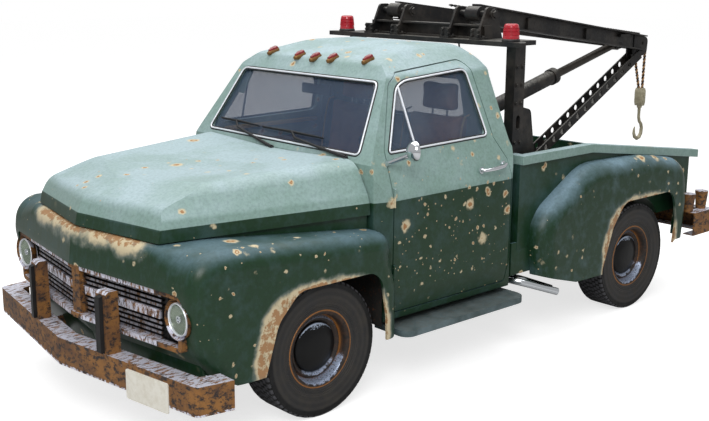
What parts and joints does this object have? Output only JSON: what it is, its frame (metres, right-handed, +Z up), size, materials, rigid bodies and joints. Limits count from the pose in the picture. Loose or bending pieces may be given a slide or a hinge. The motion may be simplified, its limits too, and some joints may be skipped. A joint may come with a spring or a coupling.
{
  "type": "tow truck",
  "caption": "Weathered two-tone step-side pickup wrecker with a hollow cab, open bed, mast, lifting boom with ram, winch and hanging hook.",
  "frame": {"origin": "middle of the overall length and width, on the ground under the tyres", "axes": "+X to the vehicle's left, +Y to its rear, +Z up"},
  "size_m": [2.124, 5.238, 2.0705],
  "materials": {
    "green_paint": "worn satin",
    "sage_paint": "worn satin",
    "chassis_paint": "satin, dirty",
    "mast_paint": "worn matt",
    "worn_chrome": "pitted and rusty",
    "clean_chrome": "polished",
    "rim_paint": "rusty",
    "cast_iron": "rough",
    "tyre_rubber": "matt",
    "trim_rubber": "matt",
    "window_glass": "clear",
    "lamp_glass": "clear",
    "red_lens": "ribbed",
    "seat_hide": "worn",
    "dash_paint": "satin",
    "wheel_plastic": "smooth",
    "plate_paint": "flat",
    "bright_steel": "turned"
  },
  "bodies": {
    "chassis": {"frame": "chassis_paint", "front_axle": "chassis_paint", "rear_axle": "chassis_paint", "leaf_springs": "chassis_paint", "engine_block": "cast_iron", "propshaft": "chassis_paint", "exhaust": "worn_chrome", "fuel_tank": "chassis_paint", "radiator": "chassis_paint", "front_bumper": "worn_chrome", "bumper_guards": "worn_chrome", "guard_strips": "trim_rubber", "number_plate": "plate_paint", "grille": "worn_chrome", "headlamps": "lamp_glass", "nose_panel": "green_paint", "front_fenders": "green_paint", "cab_body": "green_paint", "cab_roof": "sage_paint", "cab_glass": "window_glass", "dashboard": "dash_paint", "seats": "seat_hide", "running_boards": "chassis_paint", "bed": "green_paint", "bed_rails": "sage_paint", "rear_fenders": "green_paint", "rear_bumper": "worn_chrome", "roof_lamps": "red_lens", "mast": "mast_paint", "beacons": "red_lens", "winch": "mast_paint"},
    "hood": {"hood": "sage_paint"},
    "door_left": {"door_left": "green_paint", "door_glass_left": "window_glass", "mirror": "clean_chrome"},
    "door_right": {"door_right": "green_paint", "door_glass_right": "window_glass"},
    "steering_wheel": {"steering_wheel": "wheel_plastic"},
    "tie_rod": {"tie_rod": "chassis_paint"},
    "knuckle_left": {"knuckle_left": "cast_iron"},
    "knuckle_right": {"knuckle_right": "cast_iron"},
    "tailgate": {"tailgate": "green_paint"},
    "boom": {"boom": "mast_paint"},
    "ram_barrel": {"ram_barrel": "mast_paint"},
    "ram_rod": {"ram_rod": "bright_steel"},
    "hook": {"hook": "cast_iron"},
    "wheel_front_left": {"tyre_front_left": "tyre_rubber", "wheel_front_left": "rim_paint"},
    "wheel_front_right": {"tyre_front_right": "tyre_rubber", "wheel_front_right": "rim_paint"},
    "wheel_rear_left": {"tyre_rear_left": "tyre_rubber", "wheel_rear_left": "rim_paint"},
    "wheel_rear_right": {"tyre_rear_right": "tyre_rubber", "wheel_rear_right": "rim_paint"}
  },
  "joints": [
    {"name": "hood_hinge", "type": "hinge", "parent": "chassis", "child": "hood", "pos_m": [0, -1.203, 1.29], "axis": [-1, 0, 0], "range_deg": [0, 50]},
    {"name": "door_left_hinge", "type": "hinge", "parent": "chassis", "child": "door_left", "pos_m": [0.8775, -1.076, 0.85], "axis": [0, 0, -1], "range_deg": [0, 65]},
    {"name": "door_right_hinge", "type": "hinge", "parent": "chassis", "child": "door_right", "pos_m": [-0.8775, -1.076, 0.85], "axis": [0, 0, 1], "range_deg": [0, 65]},
    {"name": "steer_left", "type": "hinge", "parent": "chassis", "child": "knuckle_left", "pos_m": [0.65, -1.587, 0.365], "axis": [0, 0, 1], "range_deg": [-30, 30]},
    {"name": "steer_right", "type": "hinge", "parent": "chassis", "child": "knuckle_right", "pos_m": [-0.65, -1.587, 0.365], "axis": [0, 0, 1], "range_deg": [-30.5, 30.5]},
    {"name": "tie_rod_slide", "type": "slide", "parent": "chassis", "child": "tie_rod", "axis": [1, 0, 0], "range_m": [-0.08, 0.08]},
    {"name": "steering_wheel_turn", "type": "hinge", "parent": "chassis", "child": "steering_wheel", "pos_m": [0.38, -0.652, 1.195], "axis": [0, 0.788, 0.6157], "range_deg": [-485, 485]},
    {"name": "tailgate_hinge", "type": "hinge", "parent": "chassis", "child": "tailgate", "pos_m": [0, 1.917, 0.672], "axis": [-1, 0, 0], "range_deg": [0, 90]},
    {"name": "boom_lift", "type": "hinge", "parent": "chassis", "child": "boom", "pos_m": [0, 0.125, 2.012], "axis": [1, 0, 0], "range_deg": [0, 25]},
    {"name": "ram_swing", "type": "hinge", "parent": "chassis", "child": "ram_barrel", "pos_m": [0, 0.281, 1.222], "axis": [1, 0, 0], "range_deg": [0, 23.05]},
    {"name": "ram_extend", "type": "slide", "parent": "ram_barrel", "child": "ram_rod", "axis": [0, 0.9669, 0.2552], "range_m": [0, 0.342]},
    {"name": "hook_hang", "type": "hinge", "parent": "boom", "child": "hook", "pos_m": [0, 2.498, 1.712], "axis": [1, 0, 0], "range_deg": [-25.2, 0]},
    {"name": "wheel_front_left_spin", "type": "hinge", "parent": "knuckle_left", "child": "wheel_front_left", "pos_m": [0.775, -1.587, 0.365], "axis": [1, 0, 0], "continuous": true},
    {"name": "wheel_front_right_spin", "type": "hinge", "parent": "knuckle_right", "child": "wheel_front_right", "pos_m": [-0.775, -1.587, 0.365], "axis": [1, 0, 0], "continuous": true},
    {"name": "wheel_rear_left_spin", "type": "hinge", "parent": "chassis", "child": "wheel_rear_left", "pos_m": [0.775, 1.207, 0.365], "axis": [1, 0, 0], "continuous": true},
    {"name": "wheel_rear_right_spin", "type": "hinge", "parent": "chassis", "child": "wheel_rear_right", "pos_m": [-0.775, 1.207, 0.365], "axis": [1, 0, 0], "continuous": true}
  ],
  "couplings": [
    {"joint": "steer_right", "follows": "steer_left", "ratio": 1},
    {"joint": "tie_rod_slide", "follows": "steer_left", "m_per_rad": -0.1461},
    {"joint": "steering_wheel_turn", "follows": "steer_left", "ratio": 16},
    {"joint": "ram_swing", "follows": "boom_lift", "ratio": 0.9139},
    {"joint": "ram_extend", "follows": "boom_lift", "m_per_rad": 0.7793},
    {"joint": "hook_hang", "follows": "boom_lift", "ratio": -1}
  ]
}
